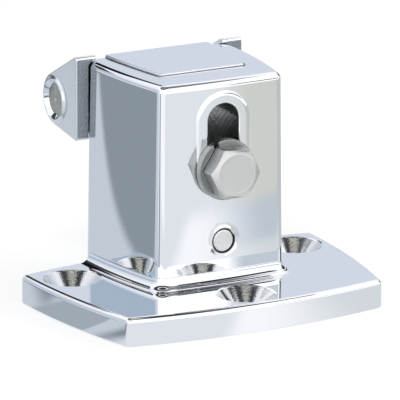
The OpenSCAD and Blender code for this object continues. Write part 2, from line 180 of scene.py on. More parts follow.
def guide(front_y, back_y, inset, radius):
    """Outline of the tapered guide between two distances along Y, made smaller by inset at its sides.
    Its width at y is the front's plus slope (y - the pocket's front)."""
    slope = (GUIDE_BACK_W - GUIDE_FRONT_W) / (GUIDE_BACK_Y - POCKET_FRONT_Y)
    front, back = (GUIDE_FRONT_W + slope * (y - POCKET_FRONT_Y) - 2 * inset for y in (front_y, back_y))
    corners = [(front / 2, front_y), (back / 2, back_y), (-back / 2, back_y), (-front / 2, front_y)]
    return bulged_outline(corners, [0.4, 0.01, 0.4, 0.01], [radius] * 4, 20, 8)


flange_outline = bulged_outline([(38.4, -39.8), (44.7, 9.4), (-44.7, 9.4), (-38.4, -39.8)],
                                [1.6, 4.7, 1.6, 4.0], [1.8] * 4, 48, 10)
column_outline = bulged_outline([(18.2, -20.2), (21.9, 16.5), (-21.9, 16.5), (-18.2, -20.2)],
                                [1.1, 0.9, 1.1, 0.6], [2.2, 5.6, 5.6, 2.2], 48, 16)

EDGE_R, TOP_R, FOOT_R = 1.5, 2.0, 3.4
flange = solid("housing", [ring(flange_outline, -0.3, 0), ring(flange_outline, 0, 0.3)]
               + [ring(flange_outline, EDGE_R * (c - 1), FLANGE_T - EDGE_R * (1 - s)) for s, c in arc()])
column = solid("column", [ring(column_outline, drafted(0) - 0.3, 0), ring(column_outline, drafted(0), 0.3)]
               + [ring(column_outline, drafted(COLUMN_TOP - TOP_R) + TOP_R * (c - 1),
                       COLUMN_TOP - TOP_R * (1 - s)) for s, c in arc(15)])
fillet = solid("fillet", [ring(column_outline, drafted(FLANGE_T) + FOOT_R, FLANGE_T - 1)]
               + [ring(column_outline, drafted(FLANGE_T + FOOT_R * (1 - c)) + FOOT_R * (1 - s) + 0.004,
                       FLANGE_T - 0.02 + FOOT_R * (1 - c)) for s, c in arc(27)]
               + [ring(column_outline, -1, FLANGE_T + FOOT_R)])
trim = solid("trim", [ring(flange_outline, -EDGE_R, 1), ring(flange_outline, -EDGE_R, 30)])
border_profile = ((0.9, -16), (0.5, -20.7), (0.2, -20.96), (0.0, -21.09), (-0.2, -21.18),
                  (-0.45, -21.26), (-0.75, -21.31), (-1.1, BORDER_Y))
border = solid("border", [ring(stadium(SLOT_W / 2 + BORDER_W, SLOT_LOW, SLOT_HIGH), grow, -y)
                          for grow, y in border_profile], "y")
stop_face_y = FRONT_FACE_Y - drafted(STOP_Z)
boss_profile = ((5.5, 2.0), (5.1, 0.0), (4.7, -0.02), (4.3, -0.07), (3.95, -0.13), (3.7, -0.18),
                (3.5, -0.21))
boss = lathe("boss", [(r, -stop_face_y - rise) for r, rise in boss_profile], (0, 0, STOP_Z), "y")

fillet = carve(fillet, [trim], "INTERSECT")
housing = carve(flange, [column, fillet, border, boss], "UNION")

pockets = [
    solid("pocket_foot", [ring(guide(POCKET_FRONT_Y, 13.1, 0, 1.2), 0, z) for z in (-1, 15)]),
    solid("pocket", [ring(guide(POCKET_FRONT_Y, 20, 0, 1.2), grow, z) for grow, z in
                     [(0, 14)] + [(0.4 * (1 - c), COLUMN_TOP - 0.4 * (1 - s)) for s, c in arc(6, 0, 75)]
                     + [(0.4, COLUMN_TOP + 1)]]),
]
SLOT_EDGE_R = 0.7
slot_profile = [(0, POCKET_FRONT_Y + 1)]
slot_profile += [(SLOT_EDGE_R * (1 - c), BORDER_Y + SLOT_EDGE_R * (1 - s)) for s, c in arc(8, 42, 78)]
slot_profile += [(SLOT_EDGE_R, BORDER_Y - 1)]
slot_outline = stadium(SLOT_W / 2, SLOT_LOW, SLOT_HIGH)
slot = solid("slot", [ring(slot_outline, grow, -y) for grow, y in slot_profile], "y")
sink_h = COUNTERSINK_R - SCREW_HOLE_R
hole_profile = [(SCREW_HOLE_R, -1), (SCREW_HOLE_R, FLANGE_T - sink_h),
                (COUNTERSINK_R - 0.25, FLANGE_T - 0.25), (COUNTERSINK_R - 0.19, FLANGE_T - 0.18),
                (COUNTERSINK_R, FLANGE_T - 0.08), (COUNTERSINK_R + 0.15, FLANGE_T - 0.02),
                (COUNTERSINK_R + 0.2, FLANGE_T + 1)]
holes = [lathe("hole", hole_profile, (x, y, 0), "z") for x, y in SCREW_PLACES]
stop_hole = lathe("stop_hole", [(STOP_R + 0.01, -POCKET_FRONT_Y - 1), (STOP_R + 0.01, -stop_face_y - 0.4),
                                (STOP_R + 0.24, -stop_face_y - 0.3), (STOP_R + 0.28, -stop_face_y + 0.2),
                                (STOP_R + 0.4, -stop_face_y + 1)], (0, 0, STOP_Z), "y")
housing = carve(housing, pockets + [slot] + holes + [stop_hole], "DIFFERENCE")
finish_edges(housing)


def group(name, outputs, inputs):
    """Shader node group with named float inputs (name, default) and float outputs."""
    made = bpy.data.node_groups.new(name, "ShaderNodeTree")
    for label in outputs:
        made.interface.new_socket(label, in_out="OUTPUT", socket_type="NodeSocketFloat")
    for label, value in inputs:
        socket = made.interface.new_socket(label, in_out="INPUT", socket_type="NodeSocketFloat")
        socket.default_value = value
    return made, made.nodes, made.links


def noise(nodes, links, vector, scale, detail=4.0, roughness=0.5):
    """Noise texture on a vector, as its factor output."""
    made = nodes.new("ShaderNodeTexNoise")
    made.inputs["Scale"].default_value = scale
    made.inputs["Detail"].default_value = detail
    made.inputs["Roughness"].default_value = roughness
    links.new(vector, made.inputs["Vector"])
    return made.outputs["Fac"]


def maths(nodes, links, how, a, b, c=None):
    """One Math node; each operand is a number or a socket."""
    made = nodes.new("ShaderNodeMath")
    made.operation = how
    for slot_number, value in enumerate((a, b) if c is None else (a, b, c)):
        if isinstance(value, (int, float)):
            made.inputs[slot_number].default_value = value
        else:
            links.new(value, made.inputs[slot_number])
    return made.outputs[0]


def cast_surface():
    """Buffed casting under plating: slow waves from buffing, fine grain, and patches that are a little
    duller. Height is waves plus grain, and roughness is Polish plus the patches."""
    made, nodes, links = group("cast surface", ("Height", "Roughness"),
                               (("Waves", 0.3), ("Grain", 0.1), ("Polish", 0.04), ("Patches", 0.03)))
    inside, outside = nodes.new("NodeGroupInput"), nodes.new("NodeGroupOutput")
    place = nodes.new("ShaderNodeTexCoord").outputs["Object"]
    waves = maths(nodes, links, "MULTIPLY", noise(nodes, links, place, 55, 1.0), inside.outputs["Waves"])
    grain = maths(nodes, links, "MULTIPLY", noise(nodes, links, place, 2600, 2.0), inside.outputs["Grain"])
    links.new(maths(nodes, links, "ADD", waves, grain), outside.inputs["Height"])
    dull = noise(nodes, links, place, 140, 5.0, 0.6)
    patches = maths(nodes, links, "MULTIPLY", dull, inside.outputs["Patches"])
    links.new(maths(nodes, links, "ADD", patches, inside.outputs["Polish"]), outside.inputs["Roughness"])
    return made


def turned_surface():
    """Turned or milled metal under plating: blotches from the plating bath, a fine ripple, and tool marks.
    Height is their sum. The marks' height is Marks times the sine of the distance from a centre times the
    radians per metre, and Keep is 0 along the axis that the piece turned on, so that the distance is the
    radius. Roughness is Polish plus Patches times the blotches."""
    made, nodes, links = group("turned surface", ("Height", "Roughness"),
                               (("Rings", 0.3), ("Blotches", 0.5), ("Polish", 0.25), ("Patches", 0.2),
                                ("Marks", 0.0), ("Per Metre", 20000.0), ("Centre X", 0.0),
                                ("Centre Y", 0.0), ("Centre Z", 0.0), ("Keep X", 1.0), ("Keep Y", 1.0),
                                ("Keep Z", 1.0)))
    inside, outside = nodes.new("NodeGroupInput"), nodes.new("NodeGroupOutput")
    place = nodes.new("ShaderNodeTexCoord").outputs["Object"]
    blotches = noise(nodes, links, place, 900, 6.0, 0.65)
    fine = noise(nodes, links, place, 4200, 3.0)
    height = maths(nodes, links, "MULTIPLY", blotches, inside.outputs["Blotches"])
    ripple = maths(nodes, links, "MULTIPLY", fine, inside.outputs["Rings"])
    reach = place
    for label, how in (("Centre ", "SUBTRACT"), ("Keep ", "MULTIPLY")):
        joined = nodes.new("ShaderNodeCombineXYZ")
        for axis in "XYZ":
            links.new(inside.outputs[label + axis], joined.inputs[axis])
        step = nodes.new("ShaderNodeVectorMath")
        step.operation = how
        links.new(reach, step.inputs[0])
        links.new(joined.outputs[0], step.inputs[1])
        reach = step.outputs[0]
    length = nodes.new("ShaderNodeVectorMath")
    length.operation = "LENGTH"
    links.new(reach, length.inputs[0])
    radians = maths(nodes, links, "MULTIPLY", length.outputs["Value"], inside.outputs["Per Metre"])
    turned = maths(nodes, links, "SINE", radians, 0.0)
    marks = maths(nodes, links, "MULTIPLY", turned, inside.outputs["Marks"])
    height = maths(nodes, links, "ADD", maths(nodes, links, "ADD", height, ripple), marks)
    links.new(height, outside.inputs["Height"])
    patches = maths(nodes, links, "MULTIPLY", blotches, inside.outputs["Patches"])
    links.new(maths(nodes, links, "ADD", patches, inside.outputs["Polish"]), outside.inputs["Roughness"])
    return made


CAST_SURFACE = cast_surface()
TURNED_SURFACE = turned_surface()


def metal(name, colour, surface, values, bump, distance=0.0002):
    """Metal whose roughness and bump height come from a surface group with the given input values."""
    made = bpy.data.materials.new(name)
    made.use_nodes = True
    nodes, links = made.node_tree.nodes, made.node_tree.links
    shader = nodes["Principled BSDF"]
    shader.inputs["Base Color"].default_value = (*colour, 1)
    shader.inputs["Metallic"].default_value = 1.0
    look = nodes.new("ShaderNodeGroup")
    look.node_tree = surface
    for label, value in values.items():
        look.inputs[label].default_value = value
    links.new(look.outputs["Roughness"], shader.inputs["Roughness"])
    relief = nodes.new("ShaderNodeBump")
    relief.inputs["Strength"].default_value = bump
    relief.inputs["Distance"].default_value = distance
    links.new(look.outputs["Height"], relief.inputs["Height"])
    links.new(relief.outputs["Normal"], shader.inputs["Normal"])
    return made


def centres_of(piece):
    """Centres of a mesh's faces in millimetres, as three arrays."""
    found = np.zeros(len(piece.data.polygons) * 3)
    piece.data.polygons.foreach_get("center", found)
    return (found.reshape(-1, 3) / MM).T


def normals_of(piece):
    """Normals of a mesh's faces, as an array with one row for each face."""
    found = np.zeros(len(piece.data.polygons) * 3)
    piece.data.polygons.foreach_get("normal", found)
    return found.reshape(-1, 3)


housing.data.materials.append(metal("bright chrome", (0.90, 0.91, 0.93), CAST_SURFACE,
                                    {"Waves": 0.5, "Grain": 0.02, "Polish": 0.02, "Patches": 0.04}, 0.15))
# Near black: painted shade deep in the stop pin's bore.
housing.data.materials.append(metal("bore walls painted dark as shade", (0.10, 0.10, 0.10), CAST_SURFACE,
                                    {"Waves": 0.3, "Grain": 0.8, "Polish": 0.4, "Patches": 0.2}, 0.4))
housing.data.materials.append(metal("cut and plated cones", (0.74, 0.75, 0.76), CAST_SURFACE,
                                    {"Waves": 0.6, "Grain": 0.35, "Polish": 0.06, "Patches": 0.1}, 0.35))
# Milled slot walls with tool marks; their dark grey is also painted shade inside the slot.
housing.data.materials.append(metal("milled slot walls with painted shade", (0.42, 0.43, 0.43), TURNED_SURFACE,
                                    {"Rings": 0.3, "Blotches": 0.5, "Polish": 0.24, "Patches": 0.2,
                                     "Marks": 0.16, "Per Metre": 6500.0, "Centre X": 0.0045,
                                     "Centre Y": -0.0095, "Centre Z": 0.036}, 0.5))

# Faces by metal: 1 the stop pin's bore, painted near black as the shade deep in it, 2 the three
# countersinks,
# 3 the walls of the adjusting slot, milled, whose dark grey is also painted shade inside the slot.
across, back, up = centres_of(housing)
kind = np.zeros(len(up), np.int32)
kind[(np.hypot(across, up - STOP_Z) < STOP_R + 0.37) & (back < POCKET_FRONT_Y - 0.3)] = 1
for x, y in SCREW_PLACES:
    kind[(np.hypot(across - x, back - y) < COUNTERSINK_R - 0.3) & (up < FLANGE_T - 0.2)] = 2
walls = (np.abs(across) < SLOT_W / 2 + 0.05) & (back > BORDER_Y + 0.3) & (back < POCKET_FRONT_Y - 0.05)
walls &= (up > SLOT_LOW - 5) & (up < SLOT_HIGH + 5) & (np.abs(normals_of(housing)[:, 1]) < 0.3)
kind[walls] = 3
housing.data.polygons.foreach_set("material_index", kind)
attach(housing, "housing")
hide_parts("body")

# Stop pin: a short steel pin pressed through the housing's front wall before plating, so that its end
# lies flush and only a fine ring shows; its side is painted near black as the shade in the gap round it.
# The slide's foot rests on the part inside the pocket.
STOP_END_Y = -4.9
stop_front = stop_face_y - 0.1
stop = lathe("stop_pin_end", [(0.4, -STOP_END_Y), (STOP_R - 0.4, -STOP_END_Y), (STOP_R, -STOP_END_Y + 0.4),
                              (STOP_R, -stop_front - 0.3), (STOP_R - 0.07, -stop_front - 0.12),
                              (STOP_R - 0.25, -stop_front - 0.02), (STOP_R - 0.6, -stop_front),
                              (0.3, -stop_front + 0.03)], (0, 0, STOP_Z), "y")
finish_edges(stop)
stop.data.materials.append(metal("plated pin end", (0.80, 0.80, 0.80), TURNED_SURFACE,
                                 {"Rings": 0.15, "Blotches": 0.5, "Polish": 0.2, "Patches": 0.25}, 0.35))
# Near black: painted shade in the gap round the pin, on its side faces.
stop.data.materials.append(metal("pin side painted black as shade", (0.05, 0.05, 0.05), TURNED_SURFACE,
                                 {"Rings": 0.3, "Blotches": 0.2, "Polish": 0.4, "Patches": 0.2}, 0.3))
stop.data.polygons.foreach_set("material_index", (np.abs(normals_of(stop)[:, 1]) < 0.3).astype(np.int32))
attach(stop, "housing")
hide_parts("stop_pin")

# Slide: the second casting. Its block runs in the pocket, a web behind the column joins the block to two
# ears, and the ears are barrel plated, so they stay satin where the block's top is buffed bright.
SLIDE_TOP, SLIDE_BOTTOM, SLIDE_FRONT_Y = 63.3, 22.1, -9.45
EAR_TOP, EAR_BOTTOM, EAR_IN, EAR_OUT, EAR_FRONT_Y = 63.9, 40.8, 20.0, 25.3, 14.156
PIN_Y, PIN_Z, PIN_R = 26.756, 49.7, 4.3
WEB_Y, WEB_BACK_Y, WEB_TOP = 17.656, 19.756, 61.5


def belt(circles, spacing=5.0):
    """Outline of a belt round circles (y, z, radius), anticlockwise. Between two circles it faces the
    direction of travel less 90 degrees plus asin((r1 - r2) / distance)."""
    c = np.array(circles, float)
    v = np.roll(c, -1, 0)[:, :2] - c[:, :2]
    faces = (np.arctan2(v[:, 1], v[:, 0]) - np.pi / 2
             + np.arcsin((c[:, 2] - np.roll(c[:, 2], -1)) / np.linalg.norm(v, axis=1)))
    points, normals = [], []
    for (y, z, r), start, end in zip(c, np.roll(faces, 1), faces):
        sweep = (end - start) % (2 * np.pi)
        a = start + np.linspace(0, sweep, int(np.ceil(np.degrees(sweep) / spacing)) + 1)
        n = np.stack([np.cos(a), np.sin(a)], 1)
        points.append(np.array([y, z]) + r * n)
        normals.append(n)
    return np.concatenate(points), np.concatenate(normals)


def plate(half_w, front_y, back_y, radius, side_steps, corner_steps):
    """Rectangular outline, -half_w to half_w wide, with straight sides and corners of the given radius."""
    corners = [(half_w, front_y), (half_w, back_y), (-half_w, back_y), (-half_w, front_y)]
    return bulged_outline(corners, [0.001] * 4, [radius] * 4, side_steps, corner_steps)


def for_side(side, profile):
    """Profile of (value, x) for one ear. The left ear's is mirrored, (value, -x), and runs the other way."""
    return profile if side > 0 else [(value, -x) for value, x in profile[::-1]]


ear_outline = belt([(PIN_Y, PIN_Z, 7.2), (EAR_FRONT_Y + 1, EAR_TOP - 1, 1),
                    (EAR_FRONT_Y + 1, EAR_BOTTOM + 1, 1)])
block_outline = guide(SLIDE_FRONT_Y, GUIDE_BACK_Y, 0.3, 1.2)
block_levels = [(-0.2, SLIDE_BOTTOM), (0, SLIDE_BOTTOM + 0.2)]
block_levels += [(0.4 * (c - 1), SLIDE_TOP - 0.4 * (1 - s)) for s, c in arc(7)]
block = solid("slide_casting", [ring(block_outline, grow, z) for grow, z in block_levels])
web_outline = plate(21, WEB_Y, WEB_BACK_Y, 0.3, 4, 5)
web_levels = [(-0.2, EAR_BOTTOM + 0.07), (0, EAR_BOTTOM + 0.27), (0, WEB_TOP - 0.5)]
web_levels += [(0.5 * (c - 1), WEB_TOP - 0.5 * (1 - s)) for s, c in arc(5)]
web = solid("web", [ring(web_outline, grow, z) for grow, z in web_levels])
neck_outline = plate(13.4, 15.5, 18.6, 0.2, 4, 4)
neck = solid("neck", [ring(neck_outline, 0, z) for z in (EAR_BOTTOM + 0.13, WEB_TOP - 0.3)])
lap_outline = plate(0.7, EAR_FRONT_Y + 0.01, WEB_BACK_Y - 0.05, 0.42, 4, 6)
lap_levels = [(0, EAR_BOTTOM + 0.6), (0, EAR_TOP - 0.4)]
lap_levels += [(0.4 * (c - 1), EAR_TOP - 0.4 * (1 - s)) for s, c in arc(6)[1:]]
ear_levels = [(-0.4, EAR_IN), (0, EAR_IN + 0.4)]
ear_levels += [(0.4 * (c - 1), EAR_OUT - 0.4 * (1 - s)) for s, c in arc(8)]
lip_profile = [(6.9, 24.2), (6.9, 25.29), (6.72, 25.31), (6.52, 25.37), (6.32, 25.49), (6.12, 25.66),
               (5.95, 25.83), (5.8, 25.96), (5.66, 26.05), (5.5, 26.1), (5.34, 26.04)]
seat_profile = [(PIN_R + 0.01, 19), (PIN_R + 0.01, 24.9), (5.2, 25.88), (5.3, 25.98), (5.42, 26.06),
                (5.5, 26.12), (5.6, 27)]
ears, seats = [], []
for side in (-1, 1):
    ear = solid("ear", [ring(ear_outline, grow, x) for grow, x in for_side(side, ear_levels)], "x")
    lap = solid("lap", [ring(lap_outline, grow, z) + [side * 19.9, 0, 0] for grow, z in lap_levels])
    lap_limit = solid("lap_limit", [ring(ear_outline, -0.02, side * 20 + dx) for dx in (-3, 3)], "x")
    lap = carve(lap, [lap_limit], "INTERSECT")
    collar = lathe("collar", for_side(side, lip_profile), (0, PIN_Y, PIN_Z), "x")
    ears += [ear, lap, collar]
    seats.append(lathe("seat", for_side(side, seat_profile), (0, PIN_Y, PIN_Z), "x"))
slide = carve(block, [web, neck] + ears, "UNION")
core = solid("core", [ring(guide(-1.95, 13.2, 3.6, 1.2), 0, z) for z in (SLIDE_BOTTOM - 1, SLIDE_TOP - 4)])
COLUMN_GAP = 0.24
clearance = drafted(EAR_BOTTOM) + COLUMN_GAP
round_r = TOP_R + COLUMN_GAP
keep_out = solid("keep_out", [ring(column_outline, clearance, EAR_BOTTOM - 1)]
                 + [ring(column_outline, clearance - round_r * (1 - c), COLUMN_TOP - TOP_R + round_r * s)
                    for s, c in arc(13)])
inner_outline = plate(16.68, -30, 30, 0.1, 2, 2)
inner = solid("inner", [ring(inner_outline, 0, z) for z in (EAR_BOTTOM - 3, EAR_TOP + 3)])
keep_out = carve(keep_out, [inner], "DIFFERENCE")
tapped = lathe("tapped", [(4.05, 0.9), (4.05, 12.0)], (0, 0, 38.9), "y")
slide = carve(slide, [core, keep_out, tapped] + seats, "DIFFERENCE")
slide.name = "slide_casting"
finish_edges(slide)
slide.data.materials.append(metal("satin plated casting", (0.91, 0.92, 0.925), CAST_SURFACE,
                                  {"Waves": 0.6, "Grain": 0.25, "Polish": 0.16, "Patches": 0.12}, 0.3))
slide.data.materials.append(metal("buffed block top", (0.88, 0.90, 0.93), CAST_SURFACE,
                                  {"Waves": 0.5, "Grain": 0.03, "Polish": 0.03, "Patches": 0.05}, 0.15))
slide.data.materials.append(metal("trimmed edge", (0.29, 0.32, 0.35), CAST_SURFACE,
                                  {"Waves": 0.6, "Grain": 1.8, "Polish": 0.16, "Patches": 0.3}, 1.0))
# Dark grey: painted shade on the block's sides and front inside the pocket; the tool marks are relief.
slide.data.materials.append(metal("milled sides with painted shade", (0.36, 0.365, 0.37), TURNED_SURFACE,
                                  {"Rings": 0.3, "Blotches": 0.3, "Polish": 0.2, "Patches": 0.2,
                                   "Marks": 0.06, "Per Metre": 5000.0, "Centre X": -0.006,
                                   "Centre Y": -0.0095, "Centre Z": 0.042}, 0.5))

# Faces by metal: 1 the block's buffed top and front strip and the lips round the pin, 2 the front edges
# of the ears, 3 the block's sides and front, dark grey as painted shade inside the pocket.
across, back, up = centres_of(slide)
across = np.abs(across)
upright = np.abs(normals_of(slide)[:, 2]) < 0.5
on_block = back < GUIDE_BACK_Y + 0.1
kind = np.zeros(len(up), np.int32)
kind[on_block & (up > SLIDE_TOP - 0.6) & (across < 17)] = 1
kind[(back < EAR_FRONT_Y + 0.03) & (across > 18.9) & (up > EAR_BOTTOM) & (up < EAR_TOP - 0.5)] = 2
kind[on_block & (up < SLIDE_TOP - 0.3) & (across < 18) & upright] = 3
kind[(back < SLIDE_FRONT_Y + 0.3) & (up > SLOT_HIGH + 6)] = 1
kind[(np.hypot(back - PIN_Y, up - PIN_Z) < 5.45) & (across > 24.8)] = 1
slide.data.polygons.foreach_set("material_index", kind)
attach(slide, "carrier")
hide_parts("slide")

# Roller: a steel tube, turned and parted off, that spins on the pin between the ears. The latch's
# tongue catches behind it and rolls over it, which burnishes its middle.
ROLLER_END, ROLLER_R = 19.5, 6.4
bore_r = PIN_R + 0.08
roller = lathe("roller_tube", [(ROLLER_R - 0.6, -ROLLER_END), (ROLLER_R - 0.15, -ROLLER_END + 0.25),
                               (ROLLER_R, -ROLLER_END + 0.7), (ROLLER_R, ROLLER_END - 0.7),
                               (ROLLER_R - 0.15, ROLLER_END - 0.25), (ROLLER_R - 0.6, ROLLER_END),
                               (bore_r + 0.3, ROLLER_END), (bore_r, ROLLER_END - 0.3),
                               (bore_r, -ROLLER_END + 0.3), (bore_r + 0.3, -ROLLER_END)],
               (0, PIN_Y, PIN_Z), "x", 128, True)
finish_edges(roller)
roller.data.materials.append(metal("burnished steel", (0.74, 0.74, 0.73), TURNED_SURFACE,
                                   {"Rings": 0.3, "Blotches": 0.12, "Polish": 0.2, "Patches": 0.12}, 0.25))
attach(roller, "roller")
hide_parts("roller")

# Roller pin: a turned steel pin, pressed through both ears and plated over with them. Each end is
# sunk below the lip and shows the mark of the centre drill.
PIN_END = 24.9
half = [(0.12, PIN_END - 0.55), (0.5, PIN_END - 0.35), (0.95, PIN_END - 0.04), (1.1, PIN_END),
        (PIN_R - 0.3, PIN_END), (PIN_R - 0.06, PIN_END - 0.12), (PIN_R, PIN_END - 0.4)]
pin = lathe("pin_shaft", [(r, -x) for r, x in half] + half[::-1], (0, PIN_Y, PIN_Z), "x")
finish_edges(pin)
pin.data.materials.append(metal("dull plated pin", (0.54, 0.53, 0.46), TURNED_SURFACE,
                                {"Rings": 0.3, "Blotches": 0.9, "Polish": 0.16, "Patches": 0.25,
                                 "Marks": 0.3, "Keep X": 0.0, "Per Metre": 7400.0,
                                 "Centre Y": PIN_Y * MM, "Centre Z": PIN_Z * MM}, 0.6))
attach(pin, "carrier")
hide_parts("roller_pin")

# Clamp bolt: a forged and zinc plated M8 bolt. Its hex head is chamfered by a cone on the front, and a
# rolled thread runs from the point to under the head.
BOLT_Z, HEAD_BACK_Y, HEAD_H, HEX_AF, FACE_R, HEX_CORNER_R = 38.9, -23.438, 5.5, 13.0, 5.6, 0.35
SHANK_R, PITCH, THREAD_DEPTH, BOLT_L = 3.98, 1.25, 0.68, 25.0
HEX_TURN, CHAMFER = -4.0, np.tan(np.pi / 6)


def evenly(outline, gap):
    """The outline with each stretch from a to b cut into whole steps, about gap long: a + (b - a) t."""
    a, n = outline
    b, m = np.roll(a, -1, 0), np.roll(n, -1, 0)
    steps = np.maximum(1, (np.linalg.norm(b - a, axis=1) / gap).astype(int))
    start = np.repeat(np.arange(len(a)), steps)
    t = ((np.arange(len(start)) - (np.cumsum(steps) - steps)[start]) / steps[start])[:, None]
    return a[start] + (b - a)[start] * t, n[start] + (m - n)[start] * t


hub = (HEX_AF / 2 - HEX_CORNER_R) / np.cos(np.pi / 6)
hex_corners = np.radians(60 * np.arange(6) + HEX_TURN)
hex_outline = belt([(hub * np.cos(a), hub * np.sin(a), HEX_CORNER_R) for a in hex_corners], 6.0)
hex_outline = evenly(hex_outline, 0.35)
reach = np.linalg.norm(hex_outline[0], axis=1)
edge_z = HEAD_H - np.maximum(reach - FACE_R, 0) * CHAMFER
unit = hex_outline[0] / reach[:, None]


def cone_ring(share, rounding=0.0):
    """Ring on the head's chamfer cone: share 0 lies at the hexagon's edge and 1 at the flat face's rim.
    Its height is the head's, less the radius beyond the rim times the chamfer, less rounding."""
    r = reach + (np.minimum(FACE_R, reach) - reach) * share
    z = HEAD_H - np.maximum(r - FACE_R, 0) * CHAMFER - rounding
    return np.column_stack([unit * r[:, None], z])


head_rings = [ring(hex_outline, -0.5, 0), ring(hex_outline, -0.12, 0.05), ring(hex_outline, 0, 0.25)]
head_rings.append(np.column_stack([hex_outline[0], edge_z - 0.12]))
head_rings += [cone_ring(0.04, 0.03), cone_ring(0.1), cone_ring(0.5), cone_ring(0.94)]
head_rings += [np.column_stack([unit * r, np.full(len(unit), HEAD_H + dz)]) for r, dz in
               ((5.5, -0.01), (5.35, 0.0), (5.1, -0.05), (4.8, -0.06), (0.3, -0.06))]
head = solid("bolt_head", head_rings, "y")
turns = np.linspace(0, 2 * np.pi, 48, endpoint=False)
depth = np.arange(0, BOLT_L + 0.001, PITCH / 10)[::-1, None]
wave = np.abs((depth / PITCH + turns / (2 * np.pi)) % 1.0 - 0.5) * 2
cut = np.clip(1.25 * wave - 0.05, 0, 1) * THREAD_DEPTH
fade = np.clip((depth - 1.2) / 1.5, 0, 1)
point = np.clip((depth - (BOLT_L - 1.0)), 0, 1) * 0.8
radius = np.minimum(SHANK_R - cut * fade, SHANK_R - point)
thread = np.stack([radius * np.cos(turns), radius * np.sin(turns), -depth + 0 * turns], -1)
shank = solid("shank", [*thread, ring(circle(SHANK_R, 48), 0, 0.6)], "y")
bolt = carve(head, [shank], "UNION")
bolt.data.transform(Matrix.Translation(Vector((0, HEAD_BACK_Y, BOLT_Z)) * MM))
finish_edges(bolt, 40)
bolt.name = "hex_bolt"
bolt.data.materials.append(metal("satin zinc", (0.69, 0.685, 0.66), TURNED_SURFACE,
                                 {"Rings": 0.35, "Blotches": 0.7, "Polish": 0.22, "Patches": 0.25,
                                  "Marks": 0.05, "Keep Y": 0.0, "Per Metre": 9000.0,
                                  "Centre Z": BOLT_Z * MM}, 0.4))
bolt.data.materials.append(metal("forged flats", (0.36, 0.37, 0.37), TURNED_SURFACE,
                                 {"Rings": 0.7, "Blotches": 0.6, "Polish": 0.16, "Patches": 0.2}, 0.5))
bolt.data.polygons.foreach_set("material_index", (np.abs(normals_of(bolt)[:, 1]) < 0.3).astype(np.int32))
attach(bolt, "bolt")
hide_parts("clamp_bolt")

# Lock washer: one turn of square spring steel wire, coiled, cut across at a slant and zinc plated. Its
# ends stay a little apart when it is clamped, so that they bite into bolt and housing.
WASHER_R, WASHER_BORE, WASHER_T, SPLIT = 8.3, 4.2, 2.05, 110.0
LIFT, SLANT = 0.12, np.radians(35)
turn = np.linspace(0, 1, 145)
angle = np.radians(SPLIT + 6 + turn * 348)[:, None]
sprung_out = 0.15 * np.clip((turn - 0.88) / 0.12, 0, 1) ** 2
sprung_in = 0.05 * np.clip((0.12 - turn) / 0.12, 0, 1) ** 2
section = belt([(WASHER_BORE + 0.3, 0.3, 0.3), (WASHER_R - 0.3, 0.3, 0.3),
                (WASHER_R - 0.3, WASHER_T - 0.3, 0.3), (WASHER_BORE + 0.3, WASHER_T - 0.3, 0.3)], 15.0)[0]
r, h = section[::-1].T
end = np.clip(1 - np.minimum(turn, 1 - turn) / 0.06, 0, 1)[:, None]
swung = angle + end * (h - WASHER_T / 2) * np.tan(SLANT) / r
height = h * (1 - LIFT) + LIFT + (sprung_out - sprung_in)[:, None]
washer = solid("split_washer", np.stack([r * np.cos(swung), r * np.sin(swung), height], -1), "y")
washer.data.transform(Matrix.Translation(Vector((0, BORDER_Y, BOLT_Z)) * MM))
finish_edges(washer, 40)
washer.data.materials.append(metal("grey zinc", (0.40, 0.41, 0.40), TURNED_SURFACE,
                                   {"Rings": 0.5, "Blotches": 0.6, "Polish": 0.14, "Patches": 0.2}, 0.45))
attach(washer, "washer")
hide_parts("lock_washer")

# Studio: a pale floor with the broad tones that the plating reflects, a bright front and a lavender back
# of the room, soft lamps overhead, and two black flags that draw the dark lines in the foot's radius.
def srgb(r, g, b):
    """Linear colour of an 8-bit sRGB one: v / 12.92 up to 0.04045, above it ((v + 0.055) / 1.055)^2.4."""
    v = np.array([r, g, b]) / 255
    return tuple(float(x) for x in np.where(v <= 0.04045, v / 12.92, ((v + 0.055) / 1.055) ** 2.4))


def shown(r, g, b):
    """Colour that looks like this 8-bit one in the plating: it is divided by the plating's own colour."""
    return tuple(float(x) for x in np.array(srgb(r, g, b)) / (0.90, 0.91, 0.93))


def mask(nodes, links, value, low, high):
    """Smooth step of a value between low and high."""
    made = nodes.new("ShaderNodeMapRange")
    made.interpolation_type = "SMOOTHSTEP"
    made.inputs["From Min"].default_value = low
    made.inputs["From Max"].default_value = high
    links.new(value, made.inputs["Value"])
    return made.outputs["Result"]


def within(nodes, links, *limits):
    """Product of smooth steps, each given as (value, low, high)."""
    product = mask(nodes, links, *limits[0])
    for limit in limits[1:]:
        product = maths(nodes, links, "MULTIPLY", product, mask(nodes, links, *limit))
    return product


def mix(nodes, links, factor, a, b):
    """Mix of two colours, each a tuple or a socket, by a factor socket."""
    made = nodes.new("ShaderNodeMix")
    made.data_type = "RGBA"
    links.new(factor, made.inputs["Factor"])
    for label, value in (("A", a), ("B", b)):
        place = [s for s in made.inputs if s.name == label and s.type == "RGBA"][0]
        if isinstance(value, tuple):
            place.default_value = (*value, 1)
        else:
            links.new(value, place)
    return [s for s in made.outputs if s.type == "RGBA"][0]


def slanted(nodes, links, x, y, along_x, along_y):
    """Distance across a slanted line: along_x times x plus along_y times y."""
    return maths(nodes, links, "ADD", maths(nodes, links, "MULTIPLY", x, along_x),
                 maths(nodes, links, "MULTIPLY", y, along_y))


